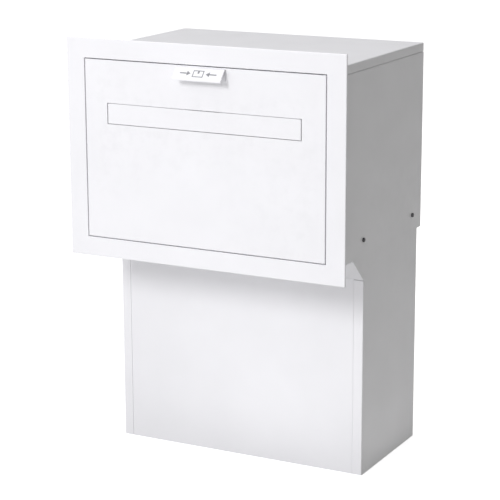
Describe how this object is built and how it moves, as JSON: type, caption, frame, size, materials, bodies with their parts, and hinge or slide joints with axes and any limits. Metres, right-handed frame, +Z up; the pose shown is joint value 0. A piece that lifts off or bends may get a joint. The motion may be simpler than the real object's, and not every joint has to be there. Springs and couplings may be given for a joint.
{
  "type": "parcel drop box",
  "caption": "White sheet-steel parcel drop box: framed tilting hopper door with a letter flap, casing over a narrower lower box with a lockable rear door.",
  "frame": {"origin": "centre of the lower box's underside, where the box stands", "axes": "+Z up, +Y out of the back (the framed front faces -Y), +X completes the right-handed set"},
  "size_m": [0.476, 0.353, 0.68],
  "materials": {
    "white_sheet": "satin white powder coat",
    "zinc_steel": "zinc plated",
    "dark_screw": "black oxide",
    "rubber": "matt",
    "icon_grey": "satin grey print"
  },
  "bodies": {
    "housing": {"front_frame": "white_sheet", "hood_shell": "white_sheet", "hood_lid": "white_sheet", "hood_floor": "white_sheet", "lower_side_left": "white_sheet", "lower_side_right": "white_sheet", "lower_front_panel": "white_sheet", "base_panel": "white_sheet", "rear_frame": "white_sheet", "baffle_plate": "white_sheet", "joint_screws": "dark_screw", "joint_nuts": "zinc_steel", "door_hinge_rod": "zinc_steel", "hinge_rod_clips": "zinc_steel", "door_stop_left": "white_sheet", "door_stop_right": "white_sheet", "door_bumpers": "rubber", "upper_hinge_frame_leaf": "zinc_steel", "lower_hinge_frame_leaf": "zinc_steel", "upper_hinge_pin": "zinc_steel", "lower_hinge_pin": "zinc_steel", "frame_leaf_rivets": "zinc_steel", "lock_keeper": "zinc_steel"},
    "parcel_door": {"door_panel": "white_sheet", "door_handle": "white_sheet", "handle_icon": "icon_grey", "handle_rivets": "zinc_steel", "hopper_tray": "white_sheet", "hopper_cheek_left": "white_sheet", "hopper_cheek_right": "white_sheet", "tray_rivets": "zinc_steel", "flap_bracket_left": "zinc_steel", "flap_bracket_right": "zinc_steel", "flap_rod": "zinc_steel", "flap_spring": "zinc_steel"},
    "letter_flap": {"letter_flap": "white_sheet"},
    "rear_door": {"upper_hinge_door_leaf": "zinc_steel", "lower_hinge_door_leaf": "zinc_steel", "door_leaf_rivets": "zinc_steel", "rear_door_panel": "white_sheet", "lock_barrel": "zinc_steel", "lock_nut": "zinc_steel"},
    "lock": {"lock_plug": "zinc_steel", "lock_cam": "zinc_steel", "cam_nut": "zinc_steel"}
  },
  "joints": [
    {"name": "door_tilt", "type": "hinge", "parent": "housing", "child": "parcel_door", "pos_m": [0, -0.2155, 0.377], "axis": [1, 0, 0], "range_deg": [0, 45]},
    {"name": "flap_swing", "type": "hinge", "parent": "parcel_door", "child": "letter_flap", "pos_m": [0, -0.2165, 0.5785], "axis": [1, 0, 0], "range_deg": [0, 70], "stiffness_Nm_per_rad": 0.06, "springref_deg": -20.05},
    {"name": "rear_door_swing", "type": "hinge", "parent": "housing", "child": "rear_door", "pos_m": [-0.19, 0.1092, 0.175], "axis": [0, 0, 1], "range_deg": [0, 110]},
    {"name": "lock_turn", "type": "hinge", "parent": "rear_door", "child": "lock", "pos_m": [0.165, 0.084, 0.175], "axis": [0, -1, 0], "range_deg": [0, 90]}
  ]
}
